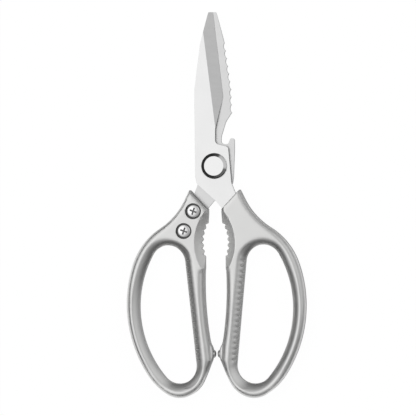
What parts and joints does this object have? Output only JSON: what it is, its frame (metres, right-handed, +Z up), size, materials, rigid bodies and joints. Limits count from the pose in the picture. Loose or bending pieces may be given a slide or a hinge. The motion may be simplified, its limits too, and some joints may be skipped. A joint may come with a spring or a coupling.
{
  "type": "kitchen shears",
  "caption": "Kitchen shears with cast metal loop handles, toothed nut-cracker jaws, a bottle-opener notch and a fish-scaler back edge on steel blades",
  "frame": {"origin": "middle of the bounding box in X and Y, on the plane of the handles' flat backs that the shears lie on", "axes": "+Y along the blades towards the tips, +Z up out of the face that shows the front blade and the pivot bolt's head, +X to the right of that view"},
  "size_m": [0.108, 0.2309, 0.011],
  "materials": {
    "blade_steel": "satin",
    "cast_handle": "satin",
    "polished_pivot": "polished",
    "pivot_hardware": "satin",
    "screw_steel": "gloss"
  },
  "bodies": {
    "right_half": {"front_blade": "blade_steel", "right_handle": "cast_handle", "pivot_bolt": "polished_pivot", "pivot_washer": "pivot_hardware", "pivot_nut": "pivot_hardware", "right_upper_screw": "screw_steel", "right_lower_screw": "screw_steel"},
    "left_half": {"back_blade": "blade_steel", "left_handle": "cast_handle", "left_upper_screw": "screw_steel", "left_lower_screw": "screw_steel"}
  },
  "joints": [
    {"name": "pivot", "type": "hinge", "parent": "right_half", "child": "left_half", "pos_m": [0, 0.02355, 0.0055], "axis": [0, 0, -1], "range_deg": [-0.35, 90]}
  ]
}
